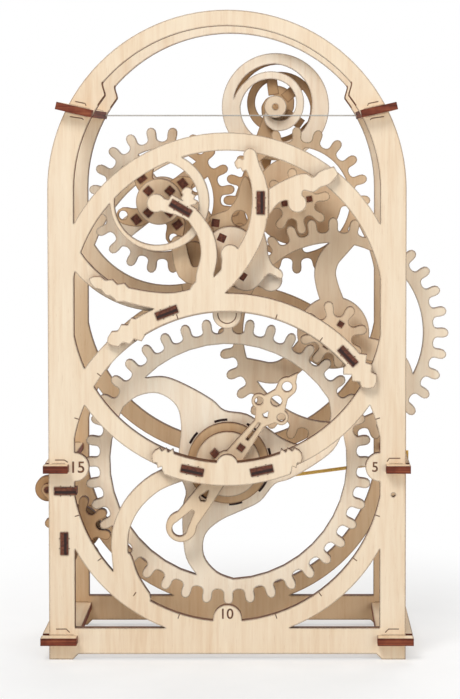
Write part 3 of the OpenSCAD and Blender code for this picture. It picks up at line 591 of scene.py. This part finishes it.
def anchor_pegs(bm):
    for x, z, turn, y in ANCHOR_PEGS:
        ends = [turned(PIVOT[0] + x, PIVOT[1] + z, turn, along, 0) for along in (-PEG_HALF, PEG_HALF)]
        strip(bm, ends, PEG_W, y / 1000)


# Key cores and hub slits are painted shadow: dark strips where a gap shows only shade
add_mark("key_cores", key_cores, painted_slot_shadow)
add_mark("key_dots", key_dots)
add_mark("hub_slits", hub_slits, painted_slot_shadow, "dial")
add_mark("anchor_pegs", anchor_pegs, key_wood, "pendulum")


# The anchor's two rear limbs

ANCHOR_TURN = SHEETS["anchor"][0]
ANCHOR_REAR = (0.007, 0.010)
# Start, bend and end from the pendulum's arbor, and the width at the start and at the end
LIMB_RIGHT = ((1, -1), (8, -5), (16, -11), 11, 9.5)
LIMB_LEFT = ((-1, -1), (-8, -5.5), (-15, -1), 12, 11)
LIMB_STEPS = 12


def limb_outline(start, bend, end, width, width_end):
    """A tapered limb along a bowed line, square at its start and round at its end, from millimetres."""
    start, bend, end = Vector(start), Vector(bend), Vector(end)

    def across(t):
        along = ((1 - t) * (bend - start) + t * (end - bend)).normalized()
        return Vector((-along.y, along.x)) * (width + (width_end - width) * t) / 2

    left, right = [], []
    for i in range(LIMB_STEPS + 1):
        t = i / LIMB_STEPS
        middle = (1 - t) ** 2 * start + 2 * t * (1 - t) * bend + t * t * end
        left.append(middle + across(t))
        right.append(middle - across(t))
    side = across(1)
    ahead = Vector((side.y, -side.x))
    turns = [math.pi * k / LIMB_STEPS for k in range(1, LIMB_STEPS)]
    cap = [end + side * math.cos(a) + ahead * math.sin(a) for a in turns]
    outline = left + cap + right[::-1]
    return [((PIVOT[0] + p.x) / 1000, (PIVOT[1] + p.y) / 1000) for p in outline]


def anchor_limb_right(bm):
    sheet_of(bm, limb_outline(*LIMB_RIGHT), *ANCHOR_REAR)


def anchor_limb_left(bm):
    sheet_of(bm, limb_outline(*LIMB_LEFT), *ANCHOR_REAR)


# The right limb's tone is painted light, paler to make up for the hook's shadow on it; the left plate's tone
# is painted shade, browner where it lies in shade behind the tree bridge
right_wood = plywood("ply_anchor_limb", turn=ANCHOR_TURN, tone=1.08, seed=4.4)
left_wood = plywood("ply_anchor_plate", turn=ANCHOR_TURN, tone=0.72, seed=5.9)
add_sheet("anchor_limb_right", anchor_limb_right, right_wood, "pendulum")
add_sheet("anchor_limb_left", anchor_limb_left, left_wood, "pendulum")


# The end of the rear plate's bough

# Middle of the small ring, radii and angles of the bough's missing stretch, and the rear plate's depth
EYE_RING = (-0.02684, 0.18387)
BOUGH_IN, BOUGH_OUT = 0.0375, 0.0438
BOUGH_FROM, BOUGH_TO, BOUGH_STEPS = 171, 160, 8
REAR_PLATE = (0.057, 0.060)


def bough_end(bm):
    turns = [BOUGH_FROM + (BOUGH_TO - BOUGH_FROM) * i / BOUGH_STEPS for i in range(BOUGH_STEPS + 1)]
    inner = [polar(EYE_RING, BOUGH_IN, a) for a in turns]
    outer = [polar(EYE_RING, BOUGH_OUT, a) for a in turns[::-1]]
    sheet_of(bm, inner + outer, *REAR_PLATE)


add_sheet("bough_end", bough_end, sheet_wood("ply_bough_end", "back_plate", rim=0))


# Inner turns of the spiral: a curl round its hub in the arm's layer, and a band in the rear layer

# Angles and radii in millimetres round the spiral's middle
CURL = ((0, 9.2), (30, 9.2), (60, 8.8), (90, 8.0), (120, 7.2), (150, 6.2), (180, 5.6), (210, 6.4), (235, 6.8),
        (260, 6.2), (300, 5.4), (340, 5.0), (352, 5.0), (356, 9.0))
BAND_OUTER = ((108, 15.9), (125, 16.4), (150, 16.6), (180, 16.6), (206, 16.4))
BAND_INNER = ((206, 14.2), (180, 13.4), (150, 13.4), (125, 14.4), (108, 15.5))
TABLE_STEPS = 6


def layer_of(node):
    """A sheet's front and rear depth in the drawing frame."""
    low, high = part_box(node)
    return low[1] + MID_Y, high[1] + MID_Y


def spiral_middle():
    low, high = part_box("spiral_hub")
    return (low[0] + high[0]) / 2 + MID_X, (low[2] + high[2]) / 2


def round_spiral(table):
    """Points round the spiral's middle, eased between the angles and radii of a table."""
    middle = spiral_middle()
    points = []
    for (angle, radius), (next_angle, next_radius) in zip(table, table[1:]):
        for i in range(TABLE_STEPS):
            t = i / TABLE_STEPS
            r = radius + (next_radius - radius) * ease(t)
            points.append(polar(middle, r / 1000, angle + (next_angle - angle) * t))
    last_angle, last_radius = table[-1]
    points.append(polar(middle, last_radius / 1000, last_angle))
    return points


def spiral_curl(bm):
    sheet_of(bm, round_spiral(CURL), *layer_of("pendulum_arm"))


def spiral_band(bm):
    sheet_of(bm, round_spiral(BAND_OUTER) + round_spiral(BAND_INNER), *layer_of("spiral_rear"))


curl_wood = plywood("ply_spiral_curl", turn=SHEETS["spiral_rear"][0], tone=0.66, seed=8.8)
add_sheet("spiral_curl", spiral_curl, curl_wood, "pendulum")
add_sheet("spiral_band", spiral_band, curl_wood, "pendulum")


# Rounded noses where the arch narrows to its crown

# Middle of the arch, radii of the column's and the crown's inner circle, and the angles of a nose
ARCH = (0.0, 0.1885)
NOSE_IN, NOSE_OUT = 0.0611, 0.0652
NOSE_ROOT, NOSE_TIP, NOSE_TOP = 56.8, 52.5, 48.9
COLUMN_STEPS, NOSE_STEPS, LAP_STEPS = 6, 14, 8
# How far a nose reaches into the arch
NOSE_LAP = 0.0008
# How far a nose's sheet is widened at each face: by its inset, and by as much again to stand proud
NOSE_PROUD = 2 * INSET
NOSE_RIM_W = 0.0005


def nose_edge(inset):
    """The free edge of the right-hand nose: up the column's inner circle and over to the crown's."""
    edge = []
    for i in range(COLUMN_STEPS):
        angle = NOSE_ROOT + (NOSE_TIP - NOSE_ROOT) * i / COLUMN_STEPS
        edge.append(polar(ARCH, NOSE_IN + inset, angle))
    for i in range(NOSE_STEPS + 1):
        t = i / NOSE_STEPS
        radius = NOSE_IN + inset + (NOSE_OUT - NOSE_IN) * ease(t)
        edge.append(polar(ARCH, radius, NOSE_TIP + (NOSE_TOP - NOSE_TIP) * t))
    return edge


def both_sides(points):
    """A line on the right-hand side of the plate, and its mirror image on the left."""
    return points, [(-x, z) for x, z in points]


def noses(front):
    def build(bm):
        turns = [NOSE_TOP + (NOSE_ROOT - NOSE_TOP) * i / LAP_STEPS for i in range(LAP_STEPS + 1)]
        lap = [polar(ARCH, NOSE_OUT + NOSE_LAP, a) for a in turns]
        for outline in both_sides(nose_edge(0) + lap):
            sheet_of(bm, outline, front - NOSE_PROUD, front + PLY + NOSE_PROUD)
    return build


def nose_rims(bm):
    for front in (0.0, REAR_PLATE[0]):
        for edge in both_sides(nose_edge(NOSE_RIM_W / 2)):
            strip(bm, edge, NOSE_RIM_W, front - NOSE_PROUD)


add_sheet("front_noses", noses(0.0), sheet_wood("ply_front_noses", "front_plate", rim=0))
add_sheet("rear_noses", noses(REAR_PLATE[0]), sheet_wood("ply_rear_noses", "back_plate", rim=0))
add_mark("nose_rims", nose_rims)


# Floor, light and camera

WHITE = (1, 1, 1, 1)
FLOOR_HALF = 6
# The floor keeps its shadow near the object and turns plain white to the camera between these distances
FADE_NEAR, FADE_FAR = 0.05, 0.22
WHITE_NEAR = 0.45


def floor_material():
    """Pale paper sweep that keeps the object's shadow and is plain white to the camera further out."""
    g = Graph("sweep")
    fibre = g.noise(g.coords(), scale=0.05, detail=3.0, rough=0.5)
    g.set("Base Color", g.ramp(fibre, [(0.3, srgb(247, 247, 246)), (0.7, srgb(251, 251, 250))]))
    g.set("Roughness", 0.9)
    distance = g.add("ShaderNodeVectorMath", operation="LENGTH")
    g.join(g.add("ShaderNodeTexCoord").outputs["Object"], distance.inputs[0])
    far = g.add("ShaderNodeMapRange", interpolation_type="SMOOTHSTEP")
    g.join(distance.outputs["Value"], far.inputs["Value"])
    far.inputs["From Min"].default_value = FADE_NEAR
    far.inputs["From Max"].default_value = FADE_FAR
    far.inputs["To Min"].default_value = WHITE_NEAR
    camera_ray = g.add("ShaderNodeLightPath").outputs["Is Camera Ray"]
    white = g.add("ShaderNodeEmission")
    blend = g.add("ShaderNodeMixShader")
    g.join(g.math("MULTIPLY", far.outputs["Result"], camera_ray), blend.inputs[0])
    g.join(g.shader.outputs[0], blend.inputs[1])
    g.join(white.outputs[0], blend.inputs[2])
    g.join(blend.outputs[0], g.tree.nodes["Material Output"].inputs["Surface"])
    return g.material


def floor_grid(bm):
    bmesh.ops.create_grid(bm, x_segments=1, y_segments=1, size=FLOOR_HALF)


floor_mesh = mesh_from("floor", floor_grid)
floor_mesh.materials.append(floor_material())
floor = bpy.data.objects.new("floor", floor_mesh)
scene.collection.objects.link(floor)

# The world lights the object softly, and is white where the camera or a gloss sees it
WORLD_LIGHT = 0.24
world = bpy.data.worlds.new("studio")
scene.world = world
world.use_nodes = True
tree = world.node_tree
light = tree.nodes["Background"]
light.inputs["Color"].default_value = WHITE
light.inputs["Strength"].default_value = WORLD_LIGHT
seen = tree.nodes.new("ShaderNodeBackground")
seen.inputs["Color"].default_value = WHITE
seen.inputs["Strength"].default_value = 1.0
path = tree.nodes.new("ShaderNodeLightPath")
either = tree.nodes.new("ShaderNodeMath")
either.operation = "MAXIMUM"
tree.links.new(path.outputs["Is Camera Ray"], either.inputs[0])
tree.links.new(path.outputs["Is Glossy Ray"], either.inputs[1])
pick = tree.nodes.new("ShaderNodeMixShader")
tree.links.new(either.outputs[0], pick.inputs[0])
tree.links.new(light.outputs[0], pick.inputs[1])
tree.links.new(seen.outputs[0], pick.inputs[2])
tree.links.new(pick.outputs[0], tree.nodes["World Output"].inputs["Surface"])

# Name, place, target, diameter and power of each lamp
LAMPS = (
    ("key", (-0.5, -1.1, 1.5), (0, 0, 0.12), 0.8, 18.2),
    ("fill", (0.9, -1.1, 0.7), (0, 0, 0.12), 0.9, 4.5),
    ("rear", (0.2, 0.9, 1.4), (0, 0, 0.15), 1.0, 10),
)


def add_lamp(name, place, target, size, power):
    data = bpy.data.lights.new(name, "AREA")
    data.shape = "DISK"
    data.size = size
    data.energy = power
    obj = bpy.data.objects.new(name, data)
    obj.location = place
    obj.rotation_euler = (Vector(target) - Vector(place)).to_track_quat("-Z", "Y").to_euler()
    scene.collection.objects.link(obj)


for lamp in LAMPS:
    add_lamp(*lamp)

# Size of the picture in pixels and of the sensor in millimetres
WIDE, TALL = 460, 699
SENSOR = 36
# The eye in the drawing frame, the focal length and vanishing point in pixels, and the downward pitch
EYE = (0.0243, -0.790, 0.2084)
FOCAL_PX = 1986
VANISH = (288, 140)
PITCH = math.radians(2.2)
camera = bpy.data.cameras.new("camera")
camera.sensor_fit = "AUTO"
camera.sensor_width = SENSOR
camera.lens = FOCAL_PX / TALL * SENSOR
camera.shift_x = (WIDE / 2 - VANISH[0]) / TALL
camera.shift_y = (VANISH[1] + FOCAL_PX * math.tan(PITCH) - TALL / 2) / TALL
camera.clip_start = 0.01
camera.clip_end = 20
eye = bpy.data.objects.new("camera", camera)
eye.location = at(*EYE)
eye.rotation_euler = (math.pi / 2 - PITCH, 0, 0)
scene.collection.objects.link(eye)
scene.camera = eye
scene.view_settings.view_transform = "Standard"

bpy.context.view_layer.update()
